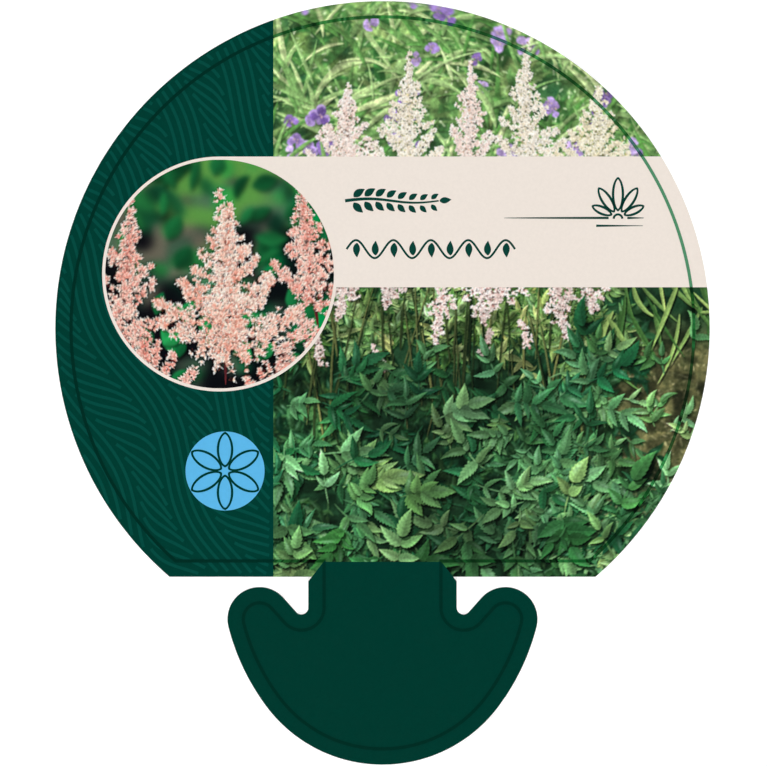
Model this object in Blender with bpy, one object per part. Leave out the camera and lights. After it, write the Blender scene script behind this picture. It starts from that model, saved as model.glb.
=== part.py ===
"""A flat plant label: one die-cut plastic sheet with a round picture plate, a short neck and an anchor foot.

The label lies on its back with its printed face up. X runs across it, Y from the foot to the top of the
plate, and Z through the sheet. The origin is the middle of the back's bounding box, on the surface it
rests on. Every size is in metres.
"""

from math import acos
from math import cos
from math import pi
from math import radians
from math import sin

import bmesh
import bpy

MM = 0.001

# The whole sheet
OVERALL_HEIGHT = 98 * MM
SHEET_THICKNESS = 0.6 * MM
CUT_EDGE_ROUNDING = 0.06 * MM

# The round plate, cut off by a straight shoulder
PLATE_RADIUS = 42 * MM
SHOULDER_DROP = 31.9 * MM

# The neck that stands in the pot's slot
NECK_WIDTH = 19.1 * MM

# The anchor foot: a bottom arc, a flatter flank, a round barb tip, a straight inner slope and a small notch
FOOT_BOTTOM_RADIUS = 18.6 * MM
FLANK_RADIUS = 29.1 * MM
BARB_TIP_RADIUS = 4.15 * MM
NOTCH_RADIUS = 0.85 * MM
BOTTOM_ARC_END = radians(216.9)
FLANK_ARC_END = radians(194.4)
BARB_SLOPE_NORMAL = radians(41.7)

# How finely the arcs are cut into straight edges
PLATE_STEP = radians(2)
FOOT_STEP = radians(4)
SMALL_STEP = radians(9)

SHEET_COLOUR = (0.86, 0.87, 0.85, 1)
SHEET_ROUGHNESS = 0.45


def clear_scene():
    for thing in list(bpy.data.objects):
        bpy.data.objects.remove(thing, do_unlink=True)


def along(centre, distance, angle):
    """The point at a distance and a direction from a centre."""
    return (centre[0] + distance * cos(angle), centre[1] + distance * sin(angle))


def arc(centre, radius, start, end, step):
    """Points on a round stretch from one direction to another, both ends included."""
    pieces = max(1, round(abs(end - start) / step))
    angles = [start + (end - start) * i / pieces for i in range(pieces + 1)]
    return [along(centre, radius, angle) for angle in angles]


def left_plate_points():
    """The left half of the round plate, from its top over its widest point to the shoulder's corner."""
    centre = (0, OVERALL_HEIGHT / 2 - PLATE_RADIUS)
    corner = pi / 2 - acos(SHOULDER_DROP / PLATE_RADIUS)
    upper = arc(centre, PLATE_RADIUS, pi / 2, pi, PLATE_STEP)
    return upper + arc(centre, PLATE_RADIUS, pi, pi + corner, PLATE_STEP)[1:]


def left_foot_points():
    """The left side of the neck and foot, from the shoulder down to the lowest point of the foot.

    Each arc's centre lies on the line through the centre before it and the point where the two meet, so
    that the outline stays smooth. The notch's arc touches the neck's side and the barb's inner slope.
    """
    neck_side = -NECK_WIDTH / 2
    shoulder_y = OVERALL_HEIGHT / 2 - PLATE_RADIUS - SHOULDER_DROP
    bottom_centre = (0, FOOT_BOTTOM_RADIUS - OVERALL_HEIGHT / 2)
    flank_centre = along(bottom_centre, FOOT_BOTTOM_RADIUS - FLANK_RADIUS, BOTTOM_ARC_END)
    tip_centre = along(flank_centre, FLANK_RADIUS - BARB_TIP_RADIUS, FLANK_ARC_END)

    # The slope is the line whose points all lie this far out along its normal
    slope_reach = (
        tip_centre[0] * cos(BARB_SLOPE_NORMAL)
        + tip_centre[1] * sin(BARB_SLOPE_NORMAL)
        + BARB_TIP_RADIUS
    )
    notch_x = neck_side - NOTCH_RADIUS
    notch_y = (slope_reach + NOTCH_RADIUS - notch_x * cos(BARB_SLOPE_NORMAL)) / sin(BARB_SLOPE_NORMAL)

    points = [(neck_side, shoulder_y)]
    points += arc((notch_x, notch_y), NOTCH_RADIUS, 0, BARB_SLOPE_NORMAL - pi, SMALL_STEP)
    points += arc(tip_centre, BARB_TIP_RADIUS, BARB_SLOPE_NORMAL, FLANK_ARC_END, SMALL_STEP)
    points += arc(flank_centre, FLANK_RADIUS, FLANK_ARC_END, BOTTOM_ARC_END, FOOT_STEP)[1:]
    points += arc(bottom_centre, FOOT_BOTTOM_RADIUS, BOTTOM_ARC_END, 1.5 * pi, FOOT_STEP)[1:]
    return points


def outline():
    """The whole cut line, anticlockwise seen from the printed face: the left half and its mirror image."""
    left = left_plate_points() + left_foot_points()
    return left + [(-x, y) for x, y in reversed(left[1:-1])]


def plastic():
    material = bpy.data.materials.new("white_plastic_sheet")
    material.use_nodes = True
    shader = material.node_tree.nodes["Principled BSDF"]
    shader.inputs["Base Color"].default_value = SHEET_COLOUR
    shader.inputs["Roughness"].default_value = SHEET_ROUGHNESS
    shader.inputs["Metallic"].default_value = 0
    return material


def die_cut_sheet():
    """The outline raised to the sheet's thickness, with its cut edge softened above and below."""
    shape = bmesh.new()
    back = shape.faces.new([shape.verts.new((x, y, 0)) for x, y in outline()])
    raised = bmesh.ops.extrude_face_region(shape, geom=[back], use_keep_orig=True)
    face_up = [part for part in raised["geom"] if isinstance(part, bmesh.types.BMVert)]
    bmesh.ops.translate(shape, verts=face_up, vec=(0, 0, SHEET_THICKNESS))
    bmesh.ops.recalc_face_normals(shape, faces=shape.faces)

    mesh = bpy.data.meshes.new("plant_label")
    shape.to_mesh(mesh)
    shape.free()
    sheet = bpy.data.objects.new("plant_label", mesh)
    bpy.context.scene.collection.objects.link(sheet)
    mesh.materials.append(plastic())

    rounding = sheet.modifiers.new("cut_edge", "BEVEL")
    rounding.width = CUT_EDGE_ROUNDING
    rounding.segments = 1
    rounding.limit_method = "ANGLE"
    rounding.angle_limit = radians(60)
    rounding.use_clamp_overlap = False
    return sheet


clear_scene()
die_cut_sheet()
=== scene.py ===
"""The looks of a flat plastic plant label, made round its CAD frame.

The label lies on its back. X runs across it and Y from its foot to the top of its round plate. The
settings are in metres, and the functions that draw the print work in millimetres. Ink is modelled as
thin closed films on the sheet's face, in a few layers. The pictures are drawn dot by dot from leaves,
blades and florets, each of them a function of two parameters, and the films carry the dots' colours as
a colour attribute.
"""

import bpy
import numpy as np
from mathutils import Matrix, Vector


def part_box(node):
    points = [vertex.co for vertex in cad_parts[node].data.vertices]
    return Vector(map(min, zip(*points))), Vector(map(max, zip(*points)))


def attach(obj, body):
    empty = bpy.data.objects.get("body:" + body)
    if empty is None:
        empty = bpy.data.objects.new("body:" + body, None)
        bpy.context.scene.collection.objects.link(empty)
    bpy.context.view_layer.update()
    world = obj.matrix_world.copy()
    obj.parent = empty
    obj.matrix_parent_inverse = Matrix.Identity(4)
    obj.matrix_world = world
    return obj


bl_info = {
    "name": "Plant label",
    "version": (1, 0, 0),
    "blender": (4, 5, 0),
    "location": "3D View > Sidebar > Plant label",
    "description": "Prints and finishes a die-cut plastic plant label",
    "category": "Object",
}

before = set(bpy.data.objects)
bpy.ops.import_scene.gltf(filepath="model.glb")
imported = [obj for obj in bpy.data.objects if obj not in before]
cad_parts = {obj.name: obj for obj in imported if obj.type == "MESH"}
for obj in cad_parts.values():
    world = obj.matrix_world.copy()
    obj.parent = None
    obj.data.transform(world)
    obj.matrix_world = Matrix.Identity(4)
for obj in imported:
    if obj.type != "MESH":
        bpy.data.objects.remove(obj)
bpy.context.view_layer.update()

SHEET = "plant_label"
MM = 0.001
TAU = 2 * np.pi

# The cut line, in millimetres, as the CAD has it
PLATE_CENTRE = (0.0, 7.0)
PLATE_RADIUS = 42.0
SHOULDER = -24.9
NECK_HALF = 9.55
BOTTOM_RADIUS = 18.6
FLANK_RADIUS = 29.1
TIP_RADIUS = 4.15
NOTCH_RADIUS = 0.85
BOTTOM_ARC_END = np.radians(216.9)
FLANK_ARC_END = np.radians(194.4)
SLOPE_NORMAL = np.radians(41.7)
FOOT_BOTTOM = -49.0

# How far, in metres, the print's outline may lie from the sheet's before the sheet's operator stops
OUTLINE_TOLERANCE = 0.02 * MM

# Ink films end this far inside the cut line, so the plate's print has this radius and this lowest edge. They
# stand on the sheet's face, rooted a little under it, and each layer is a step higher, in millimetres
BARE_EDGE = 0.04
PRINT_RADIUS = PLATE_RADIUS - BARE_EDGE
PRINT_BOTTOM = SHOULDER + BARE_EDGE
SHEET_FACE = 0.6
FILM_ROOT = 0.55
LAYER = 0.015

# The map that a mesh brings: where the faces that show start and how far they reach, and the same for
# the strip beside them that the rest share
SHOWN_MAP = (0.005, 0.96)
HIDDEN_MAP = (0.985, 0.01)

# How far the dark green of the neck runs up into the plate, and its cut-off corners, and how far under
# the shoulder those corners start
NECK_CORNER = 1.95
CORNER_DROP = 0.55

# The pale lines on the green field: bands of wavy lines, and slanting lines between them, in millimetres
BANDS = range(-7, 3)
BAND_REACH = (-70, 30)
BAND_PITCH = 9.4
BAND_LINES = 4
BAND_WAVE = 1.2
BAND_WAVE_STEP = 4.3
BAND_SHIFT = 0.9
BAND_HEADING = np.radians(-64)
SLANT = np.radians(34)
SLANT_LEAN = 7.4
SLANT_SWELL = 0.5
SLANT_BEND = 0.06

# The slanting lines end this many line spacings from the bands' outer lines
SLANT_GAP = 0.8

# The pictures, in millimetres: dots a millimetre, how far a picture reaches past the plate, past the shoulder
# and under the band, how far its film runs under the band and stays below the plate's top, how far the ink
# spreads, the distances between the films' places above and below the band, and the number of films below
GARDEN_DOTS = 18
CLOSE_UP_DOTS = 24
PICTURE_MARGIN = 0.4
PICTURE_FOOT = 0.5
PICTURE_OVERLAP = 1.0
UNDER_BAND = 0.3
TOP_GAP = 0.02
INK_SPREAD = 0.05
UPPER_STEP = 0.111
LOWER_STEP = 0.1
LOWER_SLICES = 3

# The round picture: how far it is drawn past its edge, in millimetres, its film's places a side, and the
# angle left free at the film's top and bottom, in radians
ROUND_MARGIN = 0.3
ROUND_PLACES = 281
ROUND_GAP = 0.04

# The soft patches in the pictures: how many places their lattice has a side, and where on it they start
LATTICE = 97
LATTICE_START = (31.7, 17.3)

# The drawn plants: the heading of an upright stem and where the light on leaves and on plumes comes from, in
# radians, the greatest value of a leaflet's outline, a floret's petals, and how many strokes are strewn
UP = 1.57
LEAF_LIGHT = 2.2
PLUME_LIGHT = 2.3
LEAFLET_PEAK = 0.337
FLORET_PETALS = 6
STREWN_STROKES = 900

# The ornaments on the band and the disc, in millimetres. A sprout's leaf is told by its heading, in radians,
# and its length
TWIG_START = np.array((-4.8, 23.35))
TWIG_LENGTH = 12.0
TWIG_PAIRS = 8
SCROLL_START = np.array((-4.6, 17.15))
SCROLL_LENGTH = 21.6
SCROLL_SWING = 1.15
SCROLL_LEAVES = 9
GROUND_LEVEL = 21.15
GROUND_WIDTH = 0.30
SPROUT_FOOT = np.array((30.2, 21.2))
SPROUT_LEAVES = ((2.72, 2.6), (2.15, 3.5), (np.pi / 2, 4.1), (0.99, 3.5), (0.42, 2.6))
ROSETTE_PETALS = 6

# The fine line: the distance between its places, in millimetres, and the cream under it as a screen shows it
FINE_LINE_STEP = 0.12
CREAM_SEEN = (238, 228, 218)

# The floor's half width, and how far it lies above the sheet's underside so that the two aren't in one
# plane, in metres
FLOOR_HALF = 0.6
FLOOR_RISE = 0.00002

# The lamps: names and bearings in degrees, their width in metres, and how steeply they look down on the
# label, a metre from its middle
LAMPS = (("lamp_left", 180), ("lamp_right", 0), ("lamp_top", 90), ("lamp_bottom", 270))
LAMP_SIZE = 0.7
LAMP_RISE = np.radians(38)

# How bright the sky is, level and below, a little higher up, and near the top, where the print would
# mirror it
SKY = ((0.0, 1.0), (0.2, 0.2), (0.8, 0.004))

# The camera's place over the label, in metres, and the width of its sensor, in millimetres
CAMERA_PLACE = (0.00013, -0.00008)
SENSOR_WIDTH = 36


# Settings


def length_setting(name, description, default):
    """A length, in metres."""
    return bpy.props.FloatProperty(
        name=name, description=description, default=default, unit="LENGTH", precision=5,
    )


def place_setting(name, description, default):
    """A place on the label, in metres across and up it."""
    return bpy.props.FloatVectorProperty(
        name=name, description=description, default=default, size=2, unit="LENGTH", precision=5,
    )


def colour_setting(name, description, default):
    """A colour, as amounts of red, green and blue light."""
    return bpy.props.FloatVectorProperty(
        name=name, description=description, default=default, size=3, subtype="COLOR",
    )


class LabelPrintSizes(bpy.types.PropertyGroup):
    """Where the parts of the print lie on the label."""

    field_edge: length_setting("Field edge", "Where the green field ends and the picture begins", -0.014)
    band_top: length_setting("Band top", "Height of the cream band's upper edge", 0.02904)
    band_bottom: length_setting("Band bottom", "Height of the cream band's lower edge", 0.01226)
    ring_centre: place_setting("Ring centre", "Middle of the round picture and ring", (-0.02089, 0.01396))
    ring_radius: length_setting("Ring radius", "Outer radius of the cream ring", 0.01506)
    ring_width: length_setting("Ring width", "How much of the cream ring shows round the picture", 0.00040)
    disc_centre: place_setting("Disc centre", "Middle of the blue disc", (-0.02019, -0.01130))
    disc_radius: length_setting("Disc radius", "Radius of the blue disc", 0.00507)
    line_inset: length_setting("Line inset", "How far inside the cut edge the fine line runs", 0.00206)
    line_width: length_setting("Line width", "Width of the fine line along the cut edge", 0.00040)
    weave_spacing: length_setting("Weave spacing", "Distance between the pale lines on the field", 0.00112)
    weave_width: length_setting("Weave width", "Width of the pale lines on the green field", 0.00040)


class LabelInks(bpy.types.PropertyGroup):
    """The colours of the inks and the plastic."""

    plastic: colour_setting("Plastic", "The bare sheet", (0.86, 0.87, 0.85))
    field: colour_setting("Field", "The green field's ground", (0.0002, 0.0440, 0.0307))
    weave: colour_setting("Weave", "The pale lines on the field", (0.0018, 0.0678, 0.0507))
    foot: colour_setting("Foot", "The neck and foot", (0.0003, 0.0400, 0.0275))
    cream: colour_setting("Cream", "The band and the ring", (0.843, 0.762, 0.690))
    blue: colour_setting("Blue", "The disc", (0.109, 0.468, 0.799))
    ornament: colour_setting("Ornament", "The drawings on the band", (0.004, 0.050, 0.036))
    fine_line: bpy.props.FloatVectorProperty(
        name="Fine line", description="What share of the print's colour the fine line lets through", size=3,
        default=(0.34, 0.62, 0.48),
    )
    fine_line_on_green: colour_setting(
        "Fine line on green", "The fine line where it runs over the green field and the foot",
        (0.0002, 0.0268, 0.0180),
    )


class LabelStage(bpy.types.PropertyGroup):
    """The floor, the lamps and the camera."""

    lamp_power: bpy.props.FloatProperty(
        name="Lamp power", description="Power of each side lamp", default=4.5, unit="POWER",
    )
    floor_colour: colour_setting("Floor", "Colour of the floor", (1.0, 1.0, 1.0))
    floor_glow: bpy.props.FloatProperty(
        name="Floor glow", description="How much the floor lights up the label's thin shadow", default=0.15,
    )
    view_width: length_setting("View width", "Width of what the camera sees at the label's face", 0.09837)
    lens: bpy.props.FloatProperty(
        name="Lens", description="Focal length of the camera", default=150.0, unit="CAMERA",
    )


# Outlines


def towards(angle):
    """A step of length one at an angle: its cosine and sine."""
    return np.array((np.cos(angle), np.sin(angle)))


def arc(centre, radius, start, end, count):
    """Places on a round stretch: the centre plus the radius times the cosine and sine of even angles."""
    angle = np.linspace(start, end, count)
    return np.column_stack((centre[0] + radius * np.cos(angle), centre[1] + radius * np.sin(angle)))


def foot_side(inset):
    """The left side of the neck and foot, from the shoulder to the lowest point.

    It is a straight neck, a round notch, a straight slope, a round barb tip, a flatter flank and a bottom
    arc. Each arc's centre lies on the line through the centre before it and the point where the two meet.
    Inwards from the cut, the hollow notch's arc grows by the inset, and the others shrink by it.
    """
    bottom = np.array((0, FOOT_BOTTOM + BOTTOM_RADIUS))
    flank = bottom + (BOTTOM_RADIUS - FLANK_RADIUS) * towards(BOTTOM_ARC_END)
    tip = flank + (FLANK_RADIUS - TIP_RADIUS) * towards(FLANK_ARC_END)
    normal = towards(SLOPE_NORMAL)
    notch_x = -NECK_HALF - NOTCH_RADIUS
    notch_y = (tip @ normal + TIP_RADIUS + NOTCH_RADIUS - notch_x * normal[0]) / normal[1]
    return np.concatenate((
        [(inset - NECK_HALF, SHOULDER + inset)],
        arc((notch_x, notch_y), NOTCH_RADIUS + inset, 0, SLOPE_NORMAL - np.pi, 24),
        arc(tip, TIP_RADIUS - inset, SLOPE_NORMAL, FLANK_ARC_END, 36),
        arc(flank, FLANK_RADIUS - inset, FLANK_ARC_END, BOTTOM_ARC_END, 28)[1:],
        arc(bottom, BOTTOM_RADIUS - inset, BOTTOM_ARC_END, 1.5 * np.pi, 48)[1:],
    ))


def shoulder_angle(inset):
    """Where on the plate's arc it meets the shoulder, both moved in by the inset: an arcsine past left."""
    return np.pi + np.arcsin((PLATE_CENTRE[1] - SHOULDER - inset) / (PLATE_RADIUS - inset))


def cut_line(inset=0.0):
    """The label's outline, anticlockwise, the given distance inside the cut.

    It is the left half of the plate, the neck and the foot, and its mirror image.
    """
    plate = arc(PLATE_CENTRE, PLATE_RADIUS - inset, np.pi / 2, shoulder_angle(inset), 150)
    left = np.concatenate((plate, foot_side(inset)))
    return np.concatenate((left, left[-2:0:-1] * (-1, 1)))


def plate_half_width(y):
    """Half the printed plate's width at a height: the other side of a right triangle on its radius."""
    return np.sqrt(np.maximum(PRINT_RADIUS**2 - (y - PLATE_CENTRE[1]) ** 2, 0))


def stretches(path, keep, least=3):
    """The unbroken stretches of a path where keep holds, of at least a few points."""
    cuts = np.flatnonzero(np.diff(np.concatenate(([0], keep.astype(int), [0]))))
    return [path[start:end] for start, end in zip(cuts[::2], cuts[1::2]) if end - start >= least]


def woven_lines(spacing):
    """The pale lines: steep bands of wavy lines, and slanting lines across the gaps between the bands.

    Down the bands runs s and across them n. The middle of band j lies at j times the pitch, plus a sine
    wave of s that is shifted from band to band. A slanting line starts beside one band and ends beside the
    next, further down by a lean that swells and shrinks a little along the band. At each s it has crossed a
    share t of the gap there, less a small sine of t, so that it bends with both bands and runs along them
    near its ends.
    """
    def middle(j, s):
        return BAND_PITCH * j + BAND_WAVE * np.sin(s / BAND_WAVE_STEP + BAND_SHIFT * j)

    down = towards(BAND_HEADING)
    over = np.array((-down[1], down[0]))
    outer = (BAND_LINES - 1) / 2
    gap = (outer + SLANT_GAP) * spacing
    t = np.linspace(0, 1, 40)
    s = np.arange(*BAND_REACH, 0.5)
    lines = []
    for j in BANDS:
        paths = [(s, middle(j, s) + k * spacing) for k in np.arange(BAND_LINES) - outer]
        for start in np.arange(*BAND_REACH, spacing / np.sin(SLANT)):
            along = start + (SLANT_LEAN + SLANT_SWELL * np.sin(start / 2.3 + 2.1 * j)) * t
            near, far = middle(j, along) + gap, middle(j + 1, along) - gap
            paths.append((along, near + (far - near) * (t - SLANT_BEND * np.sin(TAU * t))))
        lines += [along[:, None] * down + across[:, None] * over for along, across in paths]
    return lines


# Meshes


def raised(places, height):
    """Flat places taken to a height."""
    return np.column_stack((places, np.full(len(places), height)))


def layer_top(layer):
    """The height of a layer's top: the sheet's face plus the layer's number times its thickness."""
    return SHEET_FACE + layer * LAYER


def write_mesh(name, places, faces, painted, colours=None):
    """Makes a mesh object from places in millimetres and lists of faces, a row of corners for each face.

    The first painted faces are the ones that show. They take most of the plain map of the label that the
    mesh brings, and the rest share a strip beside it.
    """
    corners = np.concatenate([np.ravel(block) for block in faces]).astype(np.int32)
    sizes = np.concatenate([np.full(len(block), np.shape(block)[1], np.int32) for block in faces])
    starts = np.concatenate(([0], np.cumsum(sizes)[:-1])).astype(np.int32)
    mesh = bpy.data.meshes.new(name)
    mesh.vertices.add(len(places))
    mesh.vertices.foreach_set("co", np.ravel(places * MM).astype(np.float32))
    mesh.loops.add(len(corners))
    mesh.loops.foreach_set("vertex_index", corners)
    mesh.polygons.add(len(sizes))
    mesh.polygons.foreach_set("loop_start", starts)
    mesh.update(calc_edges=True)

    low, span = places[:, :2].min(0), np.ptp(places[:, :2], axis=0).max()
    flat = ((places[:, :2] - low) / span)[corners]
    shown = np.repeat(np.arange(len(sizes)) < painted, sizes)[:, None]
    plan = np.where(shown, SHOWN_MAP[0] + flat * SHOWN_MAP[1], HIDDEN_MAP[0] + flat * HIDDEN_MAP[1])
    mesh.uv_layers.new(name="OFBake").data.foreach_set("uv", np.ravel(plan).astype(np.float32))
    if colours is not None:
        layer = mesh.color_attributes.new("ink", "FLOAT_COLOR", "POINT")
        layer.data.foreach_set("color", np.ravel(raised(colours, 1)).astype(np.float32))
    mesh.shade_flat()
    mesh.validate()
    piece = bpy.data.objects.new(name, mesh)
    bpy.context.scene.collection.objects.link(piece)
    return piece


def flat_film(name, loop, layer):
    """A closed film with a flat top: an anticlockwise loop at the top, the same loop at its root, walls."""
    count = len(loop)
    here = np.arange(count)
    ahead = np.roll(here, -1)
    walls = np.column_stack((here + count, ahead + count, ahead, here))
    places = np.concatenate((raised(loop, layer_top(layer)), raised(loop, FILM_ROOT)))
    return write_mesh(name, places, [here[None], walls, here[::-1][None] + count], 1)


def picture_film(name, x, y, ink, layer):
    """A closed film whose top is a grid of places, each with its own ink, over a plain root and walls."""
    rows, columns = x.shape
    index = np.arange(rows * columns).reshape(rows, columns)
    corners = (index[:-1, :-1], index[:-1, 1:], index[1:, 1:], index[1:, :-1])
    quads = np.stack(corners, axis=-1).reshape(-1, 4)
    border = np.concatenate((index[0, :-1], index[:-1, -1], index[-1, :0:-1], index[:0:-1, 0]))
    grid = np.column_stack((x.ravel(), y.ravel()))
    places = np.concatenate((raised(grid, layer_top(layer)), raised(grid[border], FILM_ROOT)))
    here = np.arange(len(border))
    under = here + len(grid)
    walls = np.column_stack((under, np.roll(under, -1), np.roll(border, -1), border))
    colours = np.concatenate((ink.reshape(-1, 3), ink.reshape(-1, 3)[border]))
    return write_mesh(name, places, [quads, walls, under[::-1][None]], len(quads), colours)


def line_solid(name, strips, layer, closed=False, ink=None):
    """Thin lines: for each strip, a rectangle carried along between its right and left edges.

    The rectangle's corners are the right and left edges at the line's top and at its root. An open strip
    has a face at each end.
    """
    places, sides, ends, offset = [], [], [], 0
    top = layer_top(layer)
    for right, left in strips:
        corners = (raised(right, top), raised(left, top), raised(left, FILM_ROOT), raised(right, FILM_ROOT))
        index = offset + np.arange(len(right) * 4).reshape(-1, 4)
        ahead = np.roll(index, -1, 0) if closed else index[1:]
        here = index if closed else index[:-1]
        sides.append(np.stack((here, ahead, np.roll(ahead, -1, 1), np.roll(here, -1, 1)), axis=-1))
        if not closed:
            ends += [index[0], index[-1, ::-1]]
        places.append(np.stack(corners, axis=1).reshape(-1, 3))
        offset += index.size
    shown = np.concatenate([side[:, 0] for side in sides])
    hidden = np.concatenate([side[:, 1:].reshape(-1, 4) for side in sides])
    faces = [shown, hidden] + ([np.array(ends)] if ends else [])
    colours = None if ink is None else np.repeat(ink, 4, axis=0)
    return write_mesh(name, np.concatenate(places), faces, len(shown), colours)


def strip_edges(path, width):
    """The right and left edges of a line along an open path: half its width to each side of its course."""
    ahead = np.gradient(path, axis=0)
    ahead /= np.linalg.norm(ahead, axis=1, keepdims=True)
    side = np.column_stack((-ahead[:, 1], ahead[:, 0])) * (np.broadcast_to(width, len(path)) / 2)[:, None]
    return path - side, path + side


def filled_leaf(foot, heading, length, width, bend):
    """A leaf as one tapered line: its rib turns evenly by bend, and its width is a skewed sine hump."""
    u = np.linspace(0, 1, 15)
    turn = heading + bend * u / 2
    path = np.column_stack((foot[0] + length * u * np.cos(turn), foot[1] + length * u * np.sin(turn)))
    return strip_edges(path, 0.05 + width * np.sin(np.pi * u**0.8))


def leaf_outline(foot, heading, length, width, line):
    """The outer and inner edges of a leaf drawn as a line, two pointed ovals round one middle.

    An oval's places are half its length times the cosine of t along the heading, and half its width times
    the sine of t, drawn in where it is small, across it.
    """
    t = np.linspace(0, TAU, 49)[:-1]
    way = towards(heading)
    edges = []
    for grown in (line / 2, -line / 2):
        along = (length / 2 + grown) * np.cos(t) + length / 2
        across = (width / 2 + grown) * np.sin(t) * np.abs(np.sin(t)) ** 0.3
        edges.append(foot + along[:, None] * way + across[:, None] * (-way[1], way[0]))
    return edges


# Materials


def bare_material(name):
    """A new material, with its tree of nodes and its shader."""
    material = bpy.data.materials.new(name)
    material.use_nodes = True
    return material, material.node_tree, material.node_tree.nodes["Principled BSDF"]


def set_inputs(tree, node, values):
    """Sets a node's inputs by name or number: a socket is linked, and anything else is a plain value."""
    for key, value in values.items():
        if isinstance(value, bpy.types.NodeSocket):
            tree.links.new(value, node.inputs[key])
        else:
            node.inputs[key].default_value = value


def add_node(tree, kind, values, operation=None):
    """A new node with its inputs set, and its operation where it has one."""
    node = tree.nodes.new("ShaderNode" + kind)
    if operation:
        node.operation = operation
    set_inputs(tree, node, values)
    return node


def place_noise(tree, scale, detail=2.0):
    """Noise on the label's own coordinates, in metres."""
    where = add_node(tree, "TexCoord", {}).outputs["Object"]
    return add_node(tree, "TexNoise", {"Scale": scale, "Detail": detail, "Vector": where}).outputs["Fac"]


def spread(tree, value, low, high):
    """Noise stretched to run from low to high."""
    ends = {"From Min": 0.3, "From Max": 0.7, "To Min": low, "To Max": high}
    return add_node(tree, "MapRange", {"Value": value, **ends}).outputs["Result"]


def uneven(tree, height, fine, coarse):
    """A slightly wavy surface: two sizes of noise, added up, as a bump of the given height."""
    sizes = {0: place_noise(tree, fine), 1: place_noise(tree, coarse)}
    both = add_node(tree, "Math", sizes, "ADD").outputs["Value"]
    return add_node(tree, "Bump", {"Strength": 0.35, "Distance": height, "Height": both}).outputs["Normal"]


def mottled(tree, colour, share):
    """A colour times a little even noise, as ink that takes unevenly on plastic."""
    noise = spread(tree, place_noise(tree, 2600, 3), 1 - share, 1 + share)
    return add_node(tree, "VectorMath", {0: colour, "Scale": noise}, "SCALE").outputs["Vector"]


def ink_material(name, colour=None, share=0.04):
    """Varnished ink: the given colour, or the piece's own dots, with a satin varnish over it."""
    material, tree, shader = bare_material(name)
    if colour is None:
        dots = add_node(tree, "Attribute", {})
        dots.attribute_name = "ink"
        colour = dots.outputs["Color"]
    set_inputs(tree, shader, {
        "Base Color": mottled(tree, colour, share),
        "Roughness": spread(tree, place_noise(tree, 900), 0.15, 0.22),
        "Normal": uneven(tree, height=0.000012, fine=2200, coarse=420),
        "Specular IOR Level": 0.25,
    })
    return material


def plastic_material(colour):
    """White plastic sheet: a fine calendered grain, a little cloudy, satin."""
    material, tree, shader = bare_material("white_plastic")
    set_inputs(tree, shader, {
        "Base Color": mottled(tree, colour, 0.025),
        "Roughness": spread(tree, place_noise(tree, 1500), 0.42, 0.55),
        "Normal": uneven(tree, height=0.00002, fine=5200, coarse=900),
        "IOR": 1.49,
    })
    return material


def finish_piece(piece, material):
    """Gives a piece its material and the body that it moves with."""
    piece.data.materials.append(material)
    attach(piece, "root")


# Drawing with dots


def rgb(red, green, blue):
    return np.array((red, green, blue), np.float32) / 255


def mix(first, second, share):
    share = np.asarray(share)[..., None]
    return first * (1 - share) + second * share


def as_light(ink):
    """Screen colours as amounts of light, by the usual curve."""
    ink = np.clip(ink, 0, 1)
    return np.where(ink <= 0.04045, ink / 12.92, ((ink + 0.055) / 1.055) ** 2.4)


def cloud(x, y, size, seed):
    """Soft random patches from 0 to 1: random numbers on a square lattice, blended smoothly between."""
    lattice = np.random.default_rng(seed).random((LATTICE, LATTICE)).astype(np.float32)
    across, up = np.asarray(x) / size + LATTICE_START[0], np.asarray(y) / size + LATTICE_START[1]
    column, row = np.floor(across).astype(int), np.floor(up).astype(int)
    across, up = across - column, up - row
    across, up = across * across * (3 - 2 * across), up * up * (3 - 2 * up)

    def on_row(row):
        numbers = lattice[row % LATTICE, column % LATTICE], lattice[row % LATTICE, (column + 1) % LATTICE]
        return numbers[0] * (1 - across) + numbers[1] * across

    return on_row(row) * (1 - up) + on_row(row + 1) * up


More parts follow.
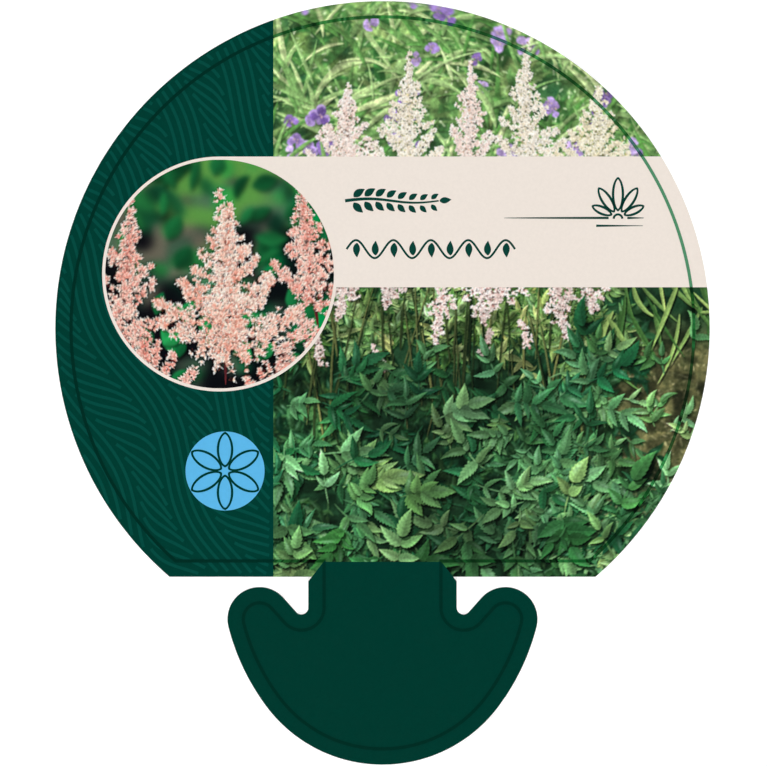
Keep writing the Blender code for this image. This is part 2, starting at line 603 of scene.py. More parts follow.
class Drawing:
    """A picture being printed: a fine square grid of ink dots over a rectangle of the label.

    All that is drawn by chance on it comes from its own random numbers, one draw after another.
    """

    def __init__(self, left, bottom, right, top, dots_per_mm, seed):
        self.left, self.bottom, self.fineness = left, bottom, dots_per_mm
        rows = int(np.ceil((top - bottom) * dots_per_mm)) + 1
        columns = int(np.ceil((right - left) * dots_per_mm)) + 1
        self.ink = np.zeros((rows, columns, 3), np.float32)
        self.rng = np.random.default_rng(seed)

    def places(self):
        """Where the dots lie, in millimetres across and up the label."""
        rows, columns = self.ink.shape[:2]
        return np.meshgrid(
            self.left + np.arange(columns) / self.fineness, self.bottom + np.arange(rows) / self.fineness
        )

    def nearest(self, x, y):
        """Row and column of the dots nearest to places, and which of the places are on the picture."""
        x, y = np.broadcast_arrays(x, y)
        column = np.rint((x - self.left) * self.fineness).astype(np.int32)
        row = np.rint((y - self.bottom) * self.fineness).astype(np.int32)
        rows, columns = self.ink.shape[:2]
        on = (row >= 0) & (row < rows) & (column >= 0) & (column < columns)
        return row[on], column[on], on

    def lay(self, x, y, colour):
        """Lays ink at places. Where places share a dot, the last one's colour stays."""
        row, column, on = self.nearest(x, y)
        self.ink[row, column] = np.broadcast_to(colour, x.shape + (3,))[on]

    def shade(self, x, y, factor):
        """Darkens the dots under places, each dot once."""
        row, column, on = self.nearest(x, y)
        self.ink[row, column] *= factor

    def haze(self, colour, share):
        """Veils the picture with a little of one colour, which makes its darks and lights less strong."""
        self.ink = self.ink * (1 - share) + colour * share

    def sharpen(self, radius, share):
        """Moves each dot away from the blurred picture, so that small things keep crisp edges."""
        crisp = self.ink
        self.soften(radius, 1)
        self.ink = np.clip(crisp + share * (crisp - self.ink), 0, 1)

    def soften(self, radius, passes=2):
        """Blurs the picture by a square of the given half width, once or more."""
        reach = max(1, int(round(radius * self.fineness)))
        for axis in (0, 1) * passes:
            edge = [(reach + 1, reach) if each == axis else (0, 0) for each in range(3)]
            total = np.cumsum(np.pad(self.ink, edge, mode="edge"), axis=axis, dtype=np.float64)
            size = self.ink.shape[axis]
            upper = np.take(total, np.arange(2 * reach + 1, 2 * reach + 1 + size), axis=axis)
            lower = np.take(total, np.arange(size), axis=axis)
            self.ink = ((upper - lower) / (2 * reach + 1)).astype(np.float32)

    def hollow(self, depth, size, seed, level, slope):
        """Darkens soft patches, as the gaps between leaves are dark."""
        x, y = self.places()
        self.ink *= (1 - depth * np.clip((cloud(x, y, size, seed) - level) * slope, 0, 1))[..., None]

    def grain(self, size, share, seed):
        """Makes the ink a little lighter and darker in fine random patches."""
        x, y = self.places()
        patches = cloud(x, y, size, seed) + cloud(x, y, size / 2.3, seed + 1) - 1
        self.ink *= (1 + share * patches)[..., None]

    def read(self, x, y):
        """The ink at places, blended between the four dots round each."""
        rows, columns = self.ink.shape[:2]
        across = np.clip((x - self.left) * self.fineness, 0, columns - 1.001)
        up = np.clip((y - self.bottom) * self.fineness, 0, rows - 1.001)
        column, row = across.astype(int), up.astype(int)
        low = mix(self.ink[row, column], self.ink[row, column + 1], across - column)
        high = mix(self.ink[row + 1, column], self.ink[row + 1, column + 1], across - column)
        return mix(low, high, up - row)


def along_rib(drawing, x, y, heading, length, width, bend, half):
    """The places of a leaf: u runs along its midrib and v across it, from -1 to 1.

    The midrib is an arc that turns evenly by bend. Half the leaf's width at u is the given function of u.
    """
    u = np.linspace(0, 1, max(6, int(length * drawing.fineness * 1.4)))[:, None]
    v = np.linspace(-1, 1, max(3, int(width * drawing.fineness * 1.5)))[None, :]
    turn = heading + bend * u
    curve = bend if abs(bend) > 0.001 else 0.001
    rib_x = x + length * (np.sin(heading + curve * u) - np.sin(heading)) / curve
    rib_y = y - length * (np.cos(heading + curve * u) - np.cos(heading)) / curve
    reach = 0.5 * width * half(u) * v
    return u, v, rib_x - np.sin(turn) * reach, rib_y + np.cos(turn) * reach


def blade(drawing, x, y, heading, length, width, bend, widest):
    """A blade or a petal: half its width is a sine hump, skewed to be widest at that share of its length."""
    power = np.log(0.5) / np.log(widest)
    return along_rib(drawing, x, y, heading, length, width, bend, lambda u: np.sin(np.pi * u**power) ** 0.9)


def draw_blade(drawing, x, y, heading, length, width, bend, widest, tone, shadow, fall=(0.16, -0.28)):
    """A grass blade or a stem: paler towards one side of its rib and towards its tip, over its shadow."""
    u, v, px, py = blade(drawing, x, y, heading, length, width, bend, widest)
    if shadow < 1:
        drawing.shade(px + fall[0], py + fall[1], shadow)
    drawing.lay(px, py, tone * (0.92 + 0.10 * np.tanh(3 * v) + 0.14 * u)[..., None])


def draw_leaflet(drawing, x, y, heading, length, width, notch, tone, shadow):
    """A leaflet with teeth that point forward, cut in by the share notch, over its own soft shadow.

    Half its width is a power of u times a higher power of one minus u, so that its tip is drawn out, and
    each tooth adds to it and then drops back. It is paler on the half towards the light, along its midrib
    and where it shines, and darker between its forward-sloping veins.
    """
    rng = drawing.rng
    teeth = rng.integers(6, 10)

    def half(u):
        return u**0.55 * (1 - u) ** 1.2 / LEAFLET_PEAK * (1 - notch * (1 - u * teeth % 1))

    u, v, px, py = along_rib(drawing, x, y, heading, length, width, rng.normal(0, 0.45), half)
    for share in (0.035, 0.085):
        drawing.shade(px + share * length, py - 1.5 * share * length, shadow * np.array((0.97, 1.05, 0.98)))
    light = np.cos(heading - LEAF_LIGHT)
    side = np.sign(light if abs(light) > 0.15 else 0.15) * min(1, 0.4 + abs(light))
    body = (1 + 0.15 * np.tanh(5 * v) * side) * (1 + 0.05 * np.sin(TAU * (u * 7 - 0.9 * np.abs(v))))
    body = body * (1 - 0.12 * np.exp(-(v / 0.2) ** 2))
    body = body * (0.80 + 0.32 * u + 0.10 * np.abs(v)) * rng.uniform(0.84, 1.12)
    rib = 0.26 * np.exp(-(v / 0.09) ** 2) * (u < 0.93)
    ink = mix(tone * body[..., None], np.minimum(1, tone * 1.4 + 0.08), rib)
    shine = 0.45 * np.clip(np.sin(u * np.pi) * np.cos((v - 0.45) * 2.2), 0, 1) ** 3 * rng.uniform(0, 1) ** 2
    drawing.lay(px, py, mix(ink, rgb(180, 216, 190), shine))


def draw_leaf(drawing, x, y, heading, size, tone, pairs, shadow, slender, notch):
    """A divided leaf: a stalk with pairs of leaflets along it and one at its end, each over its shadow.

    The pairs nearest the foot stand widest, and the leaflet at the end is the longest and lies on top. A
    leaflet is slender times as wide as it is long, or a little more or less.
    """
    rng = drawing.rng
    bend = rng.normal(0, 0.3)
    warmth = 0.05 * (cloud(x, y, 7.0, 41) - 0.5) + rng.normal(0, 0.03)
    tone = tone * np.array((1.03 + 1.4 * warmth, 1, 0.96 - warmth))
    draw_blade(drawing, x, y, heading, 0.8 * size, 0.15, bend, 0.4, np.minimum(1, tone * 0.9 + 0.04), 0.75)
    slender, notch = slender * rng.uniform(0.78, 1.22), notch * rng.uniform(0.6, 1.4)
    for node in np.linspace(0.28, 0.72, pairs) if pairs > 1 else (0.6,):
        turn = heading + bend * node / 2
        foot_x, foot_y = x + 0.8 * size * node * np.cos(turn), y + 0.8 * size * node * np.sin(turn)
        for side in (1, -1):
            lean = heading + side * (1.25 - 0.5 * node) * rng.uniform(0.5, 1.35)
            reach = size * rng.uniform(0.36, 0.72)
            tint = tone * rng.uniform(0.76, 1.2)
            tint = tint * np.array((rng.uniform(0.95, 1.05), 1, rng.uniform(0.94, 1.06)))
            width = reach * slender * rng.uniform(0.8, 1.2)
            draw_leaflet(drawing, foot_x, foot_y, lean, reach, width, notch, tint, shadow)
    x, y = x + 0.78 * size * np.cos(heading + bend / 2), y + 0.78 * size * np.sin(heading + bend / 2)
    reach = size * rng.uniform(0.58, 0.78)
    draw_leaflet(drawing, x, y, heading + bend, reach, reach * slender, notch, tone, shadow)


def draw_strokes(drawing, x, y, heading, length, width, foot, tip=None, along=12, across=4):
    """Many short tapered strokes at once, each with its own place, direction, and two colours.

    The colours run from its foot to its tip. Later strokes lie on top.
    """
    u = np.linspace(0, 1, along)[None, :, None]
    v = np.linspace(-0.5, 0.5, across)[None, None, :]
    x, y, heading, length, width = (
        np.broadcast_to(each, len(foot)).reshape(-1, 1, 1) for each in (x, y, heading, length, width)
    )
    half = width * v * np.sin(np.pi * (0.15 + 0.8 * u))
    px = x + np.cos(heading) * length * u - np.sin(heading) * half
    py = y + np.sin(heading) * length * u + np.cos(heading) * half
    foot = foot[:, None, None, :]
    tip = foot if tip is None else tip[:, None, None, :]
    drawing.lay(px, py, foot + (tip - foot) * np.broadcast_to(u, px.shape)[..., None])


def strew_strokes(drawing, across, up, lengths, width, dark, pale, skew=1):
    """Short strokes strewn over a rectangle in any direction, each of a colour between two."""
    rng, count = drawing.rng, STREWN_STROKES
    colour = mix(dark, pale, rng.random(count) ** skew)
    x, y, heading = rng.uniform(*across, count), rng.uniform(*up, count), rng.uniform(0, TAU, count)
    draw_strokes(drawing, x, y, heading, rng.uniform(*lengths, count), width, colour)


def draw_spike(drawing, x, y, heading, bend, length, width, florets):
    """One branch of a plume: florets crowded round a curved stalk, in a spike that tapers to its tip.

    The florets are told by their size, their three tones, how crowded they are and how open. Each is a bud
    in the deepest tone under narrow petals that point outwards and towards the spike's tip. They are palest
    at the spike's edge, on the side towards the light and in soft patches. The ink under the spike is
    darkened first, down and to the right, so that it stands out.
    """
    rng = drawing.rng
    floret, (deep, middle, pale), crowding, openness = florets
    count = max(6, int(crowding * length * width / floret**2 * 0.9))
    s = rng.random(count) ** 0.9
    across = np.clip(rng.normal(0, 0.42, count), -1, 1)
    half = 0.5 * width * (1 - s) ** 0.55 * (0.9 + 0.1 * np.sin(s * 21)) + 0.3 * floret
    turn, chord = heading + bend * s, heading + bend * s / 2
    fx = x + np.cos(chord) * length * s - np.sin(turn) * half * across
    fy = y + np.sin(chord) * length * s + np.cos(turn) * half * across
    if openness < 0.5:
        grow = np.linspace(-0.5, 0.5, 7)[:, None] * floret
        drawing.shade(fx + 0.35 * floret + grow, fy - 0.9 * floret, 0.5)
    lit = np.clip(0.5 + 0.5 * across * np.sign(np.sin(PLUME_LIGHT - heading)), 0, 1)
    buds = deep * rng.uniform(0.55, 1.1, (count, 1))
    start, size = rng.uniform(0, TAU, count), floret * 0.9
    draw_strokes(drawing, fx, fy, start, size, size * 0.8 * (1 - openness), buds, None, 8, 6)
    order = np.repeat(rng.permutation(count), FLORET_PETALS)
    start = turn[order] + 1.5 * across[order] + rng.normal(0, 1.1, order.size)
    share = 0.3 * lit[order] + 0.5 * np.abs(across[order]) + 0.6 * cloud(fx, fy, 1.6, 51)[order] + 0.1
    share = np.clip(share + rng.normal(0, 0.28, order.size), 0, 1)
    tip = mix(middle, pale, share) * rng.uniform(0.94, 1.06, (order.size, 1))
    root = mix(middle, pale, 0.7 * share - 0.3) * rng.uniform(0.75, 1.0, (order.size, 1))
    reach = floret * rng.uniform(0.4, 1.1, order.size)
    draw_strokes(drawing, fx[order], fy[order], start, reach, floret * 0.29, root, np.clip(tip, 0, 1), 12, 5)


def draw_plume(drawing, x, y, heading, height, width, branches, slim, spire, florets):
    """A feathery plume: side branches on both sides of a stem, long near its foot and short near its tip.

    At the share t of its height a branch reaches out by the width times a power of one minus t, the spire.
    The higher it is, the narrower the top over the broad foot. A branch is slim times as thick as the plume
    is wide, or a little more or less.
    """
    rng = drawing.rng
    level = 0.02 + 0.86 * (np.arange(branches) + rng.uniform(-0.2, 0.2, branches)) / branches
    way_x, way_y = towards(heading)
    for k in range(branches - 1, -1, -1):
        t, side, front = level[k], 1 if k % 2 else -1, 0.55 if k % 5 == 2 else 1.0
        reach = front * 0.56 * width * (1 - t) ** spire * rng.uniform(0.82, 1.12) + 0.8 * florets[0]
        lean = heading + side * rng.uniform(0.62, 1.0) * (1.2 - 0.45 * t) * front
        foot_x, foot_y = x + way_x * height * t, y + way_y * height * t
        thick = slim * width * (0.40 + 0.80 * (1 - t)) * rng.uniform(0.85, 1.15)
        bend = side * rng.uniform(-0.45, 0.3)
        draw_spike(drawing, foot_x, foot_y, lean, bend, reach, thick, florets)
        if k % 3 == 0:
            lean = heading + rng.normal(0, 0.12)
            draw_spike(drawing, foot_x, foot_y, lean, 0, 0.28 * height, thick, florets)
    x, y = x + way_x * height * 0.58, y + way_y * height * 0.58
    draw_spike(drawing, x, y, heading, 0, 0.44 * height, slim * width * 0.8, florets)


# The three pictures


def draw_bloom(drawing, x, y, size):
    """A violet bloom: broad overlapping petals, paler at their rims, with a few yellow dots in its heart."""
    rng = drawing.rng
    violet = mix(rgb(112, 82, 160), rgb(190, 166, 216), rng.random())
    start = rng.uniform(0, TAU)
    for petal in range(4):
        turn = start + petal * TAU / 3 + rng.normal(0, 0.35)
        length, width = size * rng.uniform(0.6, 1.1), size * rng.uniform(0.6, 1.0)
        u, v, px, py = blade(drawing, x, y, turn, length, width, 0.1, 0.62)
        tone = (0.82 + 0.30 * u + 0.05 * np.sin(v * 9))[..., None] * rng.uniform(0.84, 1.14)
        drawing.lay(px, py, violet * tone)
    ring = rng.uniform(0, TAU, 4)
    grain = np.tile(mix(rgb(226, 196, 110), violet, 0.5), (ring.size, 1))
    dot_x, dot_y = x + 0.2 * np.cos(ring), y + 0.2 * np.sin(ring)
    draw_strokes(drawing, dot_x, dot_y, ring, 0.16, 0.14, grain, None, 4, 4)


def draw_meadow(left, bottom, right, top):
    """Long arching grass with violet blooms, and the tips of pale plumes in front."""
    drawing = Drawing(left, bottom, right, top, GARDEN_DOTS, 7)
    rng = drawing.rng
    drawing.ink[:] = mix(rgb(36, 86, 52), rgb(120, 156, 82), cloud(*drawing.places(), 1.8, 5))

    def grass(count, lengths, widths, dark, pale, shadow, fan, bow, tufts=46):
        """Blades that rise from a few tufts and arch over to the side that they lean to."""
        tuft_x = rng.uniform(left - 3, right + 3, tufts)
        tuft_y = rng.uniform(bottom - 6, top - 3, tufts)
        for _ in range(count):
            k, lean = rng.integers(tufts), rng.normal(0, fan)
            x, y = tuft_x[k] + rng.normal(0, 0.9), tuft_y[k] + rng.normal(0, 0.9)
            length, width = rng.uniform(*lengths), rng.uniform(*widths)
            bend = np.sign(lean) * rng.uniform(-0.1, 1) * bow
            tone = mix(dark, pale, rng.random() ** 1.2)
            draw_blade(drawing, x, y, UP + lean, length, width, bend, 0.35, tone, shadow, (0.10, -0.16))

    grass(620, (3, 9), (0.6, 1.3), rgb(52, 110, 52), rgb(174, 204, 122), 0.84, 0.9, 1.4)
    drawing.hollow(0.28, 1.5, 6, 0.52, 5)
    drawing.soften(0.08)
    specks = rgb(110, 154, 80), rgb(222, 232, 196)
    strew_strokes(drawing, (left, right), (bottom, top), (0.3, 0.9), 0.22, *specks)
    grass(330, (4, 11), (0.35, 0.9), rgb(80, 138, 64), rgb(210, 226, 162), 0.76, 0.75, 1.5)
    drawing.hollow(0.24, 1.1, 48, 0.52, 5)
    for _ in range(26):
        bloom_x, bloom_y = rng.uniform(left + 1, right - 3), rng.uniform(bottom + 1.5, top - 1.0)
        for _ in range(rng.integers(1, 4)):
            x, y = bloom_x + rng.normal(0, 0.8), bloom_y + rng.normal(0, 0.6)
            draw_bloom(drawing, x, y, rng.uniform(0.9, 1.45))
    grass(70, (4, 10), (0.3, 0.6), rgb(84, 140, 64), rgb(206, 226, 164), 0.7, 0.8, 1.3)
    drawing.grain(0.5, 0.25, 47)
    drawing.ink *= 1.07
    drawing.haze(rgb(180, 206, 170), 0.05)
    drawing.soften(0.06)
    cream = (rgb(208, 196, 146), rgb(244, 229, 206), rgb(255, 250, 240))
    blush = (rgb(220, 182, 158), rgb(249, 220, 208), rgb(255, 245, 238))
    straw = (rgb(184, 180, 118), rgb(240, 226, 188), rgb(255, 249, 232))
    for x, down, tip, width, tones in (
        (-5.0, 4.0, 38.2, 11.5, blush), (3.2, 5.0, 42.0, 12.0, cream), (10.6, 4.5, 41.0, 10.5, blush),
        (18.6, 4.5, 43.2, 12.0, cream), (27.2, 4.0, 38.4, 12.0, straw),
    ):
        heading = np.pi / 2 + rng.normal(0, 0.04)
        foot, height = bottom - down, tip - bottom + down
        draw_blade(drawing, x, foot, heading, height * 0.97, 0.2, 0.02, 0.3, rgb(150, 140, 86), 1)
        florets = (0.36, tones, 0.82, 0.1)
        draw_plume(drawing, x, foot, heading, height * 0.93, width, 26, 0.15, 1.0, florets)
    drawing.grain(0.34, 0.12, 46)
    drawing.sharpen(0.16, 0.35)
    return drawing


def draw_foliage(left, bottom, right, top):
    """Toothed, divided leaves over dark ground, thin stems, and the lowest branches of the plumes above."""
    drawing = Drawing(left, bottom, right, top, GARDEN_DOTS, 8)
    rng = drawing.rng
    x, y = drawing.places()
    ground = mix(rgb(16, 40, 24), rgb(44, 82, 52), cloud(x, y, 2.4, 11))
    soil = mix(rgb(40, 44, 26), rgb(146, 130, 84), cloud(x, y, 0.35, 12) * 0.5 + 0.5 * cloud(x, y, 1.6, 14))
    bare = np.clip((x - 26) / 5, 0, 1) * np.clip(1.6 - np.abs(y + 3) / 8, 0, 1)
    drawing.ink[:] = mix(ground, soil, np.clip(bare * 1.2, 0, 0.9))
    strew_strokes(drawing, (23, right), (-18, 5), (0.2, 0.9), 0.2, rgb(58, 60, 34), rgb(188, 176, 128), 1.6)

    def leaves(count, across, up, size, dark, pale, shadow, heading, thin=None, slender=0.35, notch=0.26):
        """Divided leaves strewn over a rectangle, the highest first, none where a soft cloud is thin."""
        feet = np.column_stack((rng.uniform(*across, count), rng.uniform(*up, count)))
        for foot_x, foot_y in feet[np.argsort(-feet[:, 1])]:
            if thin is None or cloud(foot_x, foot_y, 3.4, thin) >= 0.46:
                draw_leaf(
                    drawing, foot_x, foot_y, rng.normal(*heading), size * rng.uniform(0.65, 1.3),
                    mix(dark, pale, rng.random() ** 1.2), rng.integers(1, 4), shadow, slender, notch,
                )

    leaves(420, (left - 2, 33), (-26, 12), 3.2, rgb(16, 56, 34), rgb(70, 116, 66), 0.76, (UP, 1.6))
    drawing.hollow(0.38, 1.7, 42, 0.5, 4)
    drawing.soften(0.07)
    leaves(250, (left, 30), (3.5, 13), 2.9, rgb(70, 110, 52), rgb(170, 194, 128), 0.76, (UP, 1.6))
    drawing.hollow(0.4, 1.1, 43, 0.5, 4)
    for _ in range(26):
        tone = mix(rgb(52, 90, 42), rgb(168, 192, 108), rng.random())
        draw_blade(
            drawing, rng.uniform(27, 43), rng.uniform(8, 15), rng.normal(-1.35, 0.5), rng.uniform(5, 13),
            rng.uniform(0.35, 0.85), rng.normal(0.2, 0.5), 0.35, tone, 0.5,
        )
    for _ in range(60):
        tone = mix(rgb(24, 38, 20), rgb(116, 116, 66), rng.random() ** 1.5)
        draw_blade(
            drawing, rng.uniform(-13, 27), rng.uniform(-9, 5), rng.normal(UP, 0.13), rng.uniform(8, 20),
            rng.uniform(0.13, 0.26), rng.normal(0, 0.12), 0.3, tone, 0.6, (0.15, 0),
        )
    tones = (rgb(178, 122, 116), rgb(234, 196, 190), rgb(255, 240, 236))
    for foot_x, tip, width in (
        (-10.5, 9.9, 3.5), (-4.6, 8.4, 4.6), (2.4, 9.6, 4.0), (8.4, 5.2, 5.4),
        (12.6, 7.8, 5.6), (17.0, 8.6, 5.4), (22.0, 5.8, 5.6), (26.4, 9.2, 5.0),
    ):
        heading, foot = rng.normal(-np.pi / 2, 0.2), top + 1.5
        florets = (0.40, tones, 0.7, 0.1)
        draw_plume(drawing, foot_x, foot, heading, foot - tip, 1.05 * width, 10, 0.27, 0.8, florets)
    for foot_x, foot_y, heading in ((-8.0, 2.2, UP), (0.2, 1.6, 1.9), (12.8, 3.4, 1.2), (18.8, 4.6, 1.8)):
        draw_spike(drawing, foot_x, foot_y, heading, 0.2, 3.6, 1.5, (0.38, tones, 0.9, 0.0))
    for layer in (
        (210, (left - 2, 31), (-22, 4.0), 4.3, rgb(22, 76, 46), rgb(104, 148, 98), 0.66, (1.0, 1.7), 31),
        (150, (20, 37), (-25, -8), 3.6, rgb(42, 92, 54), rgb(126, 168, 112), 0.74, (0.6, 1.4), 34),
        (12, (27, 41), (-9, 4), 4.2, rgb(60, 110, 62), rgb(140, 176, 118), 0.66, (1.2, 1.0)),
        (110, (left - 2, 30), (-26, 1), 4.8, rgb(22, 78, 46), rgb(110, 156, 104), 0.60, (-0.4, 1.9), 32,
         0.38),
        (44, (left - 2, 31), (-27, -13), 4.8, rgb(46, 106, 56), rgb(138, 180, 112), 0.46, (-0.8, 1.7), 35,
         0.48, 0.2),
    ):
        leaves(*layer)
    drawing.ink *= (0.90 + 0.34 * cloud(x, y, 4.6, 61))[..., None]
    for share, middle_x, middle_y, wide, high in (
        (0.42, -10, -8, 5, 6), (0.34, 34, -4, 6, 5), (-0.26, 3, -5, 8, 6), (-0.34, 11, -19, 9, 6),
        (0.06, 16, 11, 12, 4),
    ):
        patch = np.exp(-((x - middle_x) / wide) ** 2 - ((y - middle_y) / high) ** 2)
        drawing.ink *= (1 + share * patch)[..., None]
    drawing.grain(0.34, 0.18, 45)
    drawing.haze(rgb(60, 116, 84), 0.08)
    drawing.sharpen(0.16, 0.4)
    return drawing


def draw_close_up(centre, radius):
    """One creamy salmon-pink plume in front of deeper pink ones, over a dark garden out of focus."""
    cx, cy = centre
    drawing = Drawing(cx - radius, cy - radius, cx + radius, cy + radius, CLOSE_UP_DOTS, 9)
    rng = drawing.rng
    x, y = drawing.places()
    gx, gy = x - cx, y - cy
    shade = cloud(x, y, 3.4, 21) * 1.5 - 0.25 + 0.03 * gy
    ink = mix(rgb(26, 40, 36), rgb(74, 108, 82), np.clip(shade, 0, 1))
    for tone, share, most in (
        (rgb(122, 106, 92), (cloud(x, y, 3.0, 23) - 0.58) * 3 - 0.08 * gx + 0.03 * gy, 0.7),
        (rgb(92, 156, 66), (cloud(x, y, 2.2, 25) - 0.5) * 4 + 0.12 * (gy - 6), 0.85),
        (rgb(2, 150, 74), (cloud(x, y, 3.6, 22) - 0.52) * 3 + 0.10 * (gx - 2), 0.9),
    ):
        ink = mix(ink, tone, np.clip(share, 0, most))
    drawing.ink[:] = ink
    for _ in range(70):
        leaf_x, leaf_y = rng.uniform(-15, 15), rng.uniform(-15, 14)
        share = rng.random() ** 1.3 * np.clip(0.60 + 0.06 * leaf_y, 0.3, 1)
        draw_blade(
            drawing, cx + leaf_x, cy + leaf_y, rng.uniform(0, TAU), rng.uniform(2, 6), rng.uniform(1.0, 2.8),
            rng.normal(0, 0.6), 0.5, mix(rgb(12, 60, 40), rgb(64, 176, 76), share), 1,
        )
    hollow = np.clip((cloud(x, y, 3.2, 24) - 0.52) * 5 - 0.09 * (gy - 1), 0, 0.92)
    drawing.ink[:] = mix(drawing.ink, rgb(8, 8, 14), hollow)
    drawing.soften(0.40)
    for low, high, count, dim, blur in ((0, 14, 26, 0.7, 0.3), (-15, -4, 22, 1.0, 0.14)):
        for _ in range(count):
            tone = dim * mix(rgb(16, 92, 50), rgb(40, 160, 84), rng.random())
            draw_blade(
                drawing, cx + rng.uniform(-13, 13), cy + rng.uniform(low, high), rng.normal(1.4, 0.9),
                rng.uniform(2.5, 5), rng.uniform(1.0, 2.2), rng.normal(0, 0.4), 0.5, tone, 0.6,
            )
        drawing.soften(blur)
    coral = (rgb(120, 48, 46), rgb(232, 144, 128), rgb(255, 232, 216))
    salmon = (rgb(140, 66, 52), rgb(240, 164, 142), rgb(255, 250, 234))
    for across, up, heading, height, width, branches, floret, tones in (
        (-12.6, -9.0, 1.50, 17.0, 12.5, 16, 0.62, coral), (12.4, -5.0, 1.70, 15.5, 12.0, 16, 0.60, coral),
        (13.2, -17.0, 1.80, 13.0, 9.5, 12, 0.60, coral), (-6.6, -17.4, 1.95, 11.5, 12.5, 12, 0.62, coral),
        (5.6, -18.2, 1.25, 11.0, 9.0, 11, 0.62, coral), (0.8, -12.2, 1.56, 20.8, 19.5, 25, 0.68, salmon),
    ):
        foot_x, foot_y = cx + across, cy + up
        low_x, low_y = foot_x - 2 * np.cos(heading), foot_y - 2 * np.sin(heading)
        draw_blade(drawing, low_x, low_y, heading, height, 0.45, 0.02, 0.3, rgb(84, 34, 38), 1)
        florets = (floret, tones, 0.9, 0.0)
        draw_plume(drawing, foot_x, foot_y, heading, height, width, branches, 0.21, 1.15, florets)
    drawing.sharpen(0.16, 0.8)
    return drawing


# Pieces


def plate_rows(low, high, left, spacing):
    """A grid over a slice of the plate: rows from the field's edge, or the plate's, to its right edge."""
    y = np.linspace(low, high, int(round((high - low) / spacing)) + 1)[:, None]
    half = plate_half_width(y)
    start = np.maximum(left, -half)
    share = np.linspace(0, 1, int(round((half - start).max() / spacing)) + 1)[None]
    return start + (half - start) * share, np.broadcast_to(y, (y.size, share.size))


PICTURES = {}


def picture(name, draw, *where):
    """A picture, drawn once and then kept for the pieces that need it, blurred as ink spreads a little."""
    if name not in PICTURES:
        PICTURES[name] = draw(*where)
        PICTURES[name].soften(INK_SPREAD, 1)
    return PICTURES[name]


def meadow(sizes):
    """The picture above the band."""
    left, bottom = sizes.field_edge / MM - PICTURE_MARGIN, sizes.band_top / MM - PICTURE_OVERLAP
    right, top = PLATE_RADIUS + PICTURE_MARGIN, PLATE_CENTRE[1] + PLATE_RADIUS + PICTURE_MARGIN
    return picture("meadow", draw_meadow, left, bottom, right, top)


def foliage(sizes):
    """The picture below the band."""
    left, bottom = sizes.field_edge / MM - PICTURE_MARGIN, SHOULDER - PICTURE_FOOT
    right, top = PLATE_RADIUS + PICTURE_MARGIN, sizes.band_bottom / MM + PICTURE_OVERLAP
    return picture("foliage", draw_foliage, left, bottom, right, top)


class LABEL_OT_sheet(bpy.types.Operator):
    """Finish the die-cut sheet as bare white plastic"""

    bl_idname = "plant_label.sheet"
    bl_label = "Finish the sheet"

    def execute(self, context):
        low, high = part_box(SHEET)
        loop = cut_line() * MM
        gap = np.abs((loop.min(0) - low[:2], loop.max(0) - high[:2])).max()
        if gap > OUTLINE_TOLERANCE:
            raise RuntimeError("the print's outline doesn't fit the sheet")
        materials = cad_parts[SHEET].data.materials
        materials.clear()
        materials.append(plastic_material(tuple(context.scene.label_inks.plastic)))
        return {"FINISHED"}


class LABEL_OT_field(bpy.types.Operator):
    """Print the green field and the pale lines woven over it"""

    bl_idname = "plant_label.field"
    bl_label = "Print the green field"

    def execute(self, context):
        sizes, inks = context.scene.label_print, context.scene.label_inks
        edge = sizes.field_edge / MM
        top, corner = np.pi - np.arccos(-edge / PRINT_RADIUS), shoulder_angle(BARE_EDGE)
        rim = arc(PLATE_CENTRE, PRINT_RADIUS, top, corner, 120)
        field = flat_film("green_field", np.concatenate((rim, [(edge, PRINT_BOTTOM)])), 1)
        finish_piece(field, ink_material("field_ink", tuple(inks.field)))

        width = sizes.weave_width / MM
        strips = []
        for path in woven_lines(sizes.weave_spacing / MM):
            inside = (path[:, 0] < edge - width) & (path[:, 1] > PRINT_BOTTOM + width)
            inside &= np.hypot(*(path - PLATE_CENTRE).T) < PRINT_RADIUS - width / 2
            strips += [strip_edges(run, width) for run in stretches(path, inside)]
        lines = line_solid("field_weave", strips, 2)
        finish_piece(lines, ink_material("weave_ink", tuple(inks.weave)))
        return {"FINISHED"}


class LABEL_OT_foot(bpy.types.Operator):
    """Print the neck and the foot in plain dark green, with a cut-off corner on each side of the neck"""

    bl_idname = "plant_label.foot"
    bl_label = "Print the neck and foot"

    def execute(self, context):
        loop = cut_line(BARE_EDGE)
        low = loop[loop[:, 1] < SHOULDER - CORNER_DROP]
        neck = NECK_HALF - BARE_EDGE
        right = np.array(((neck, SHOULDER - CORNER_DROP), (neck - NECK_CORNER, SHOULDER + NECK_CORNER)))
        head = np.concatenate((right, right[::-1] * (-1, 1)))
        film = flat_film("green_foot", np.concatenate((low, head)), 2)
        finish_piece(film, ink_material("foot_ink", tuple(context.scene.label_inks.foot)))
        return {"FINISHED"}


class LABEL_OT_garden(bpy.types.Operator):
    """Print the garden picture above and below the cream band"""

    bl_idname = "plant_label.garden"
    bl_label = "Print the garden picture"

    def execute(self, context):
        sizes = context.scene.label_print
        edge, top, bottom = sizes.field_edge / MM, sizes.band_top / MM, sizes.band_bottom / MM
        material = ink_material("picture_ink", None, 0.03)
        plate_top = PLATE_CENTRE[1] + PRINT_RADIUS - TOP_GAP
        levels = np.linspace(PRINT_BOTTOM, bottom + UNDER_BAND, LOWER_SLICES + 1)
        slices = [("garden_upper", meadow, top - UNDER_BAND, plate_top, UPPER_STEP)]
        for k in range(LOWER_SLICES):
            slices.append((f"garden_lower_{k + 1}", foliage, levels[k], levels[k + 1], LOWER_STEP))
        for name, drawn, start, end, spacing in slices:
            x, y = plate_rows(start, end, edge, spacing)
            film = picture_film(name, x, y, as_light(drawn(sizes).read(x, y)), 1)
            finish_piece(film, material)
        return {"FINISHED"}


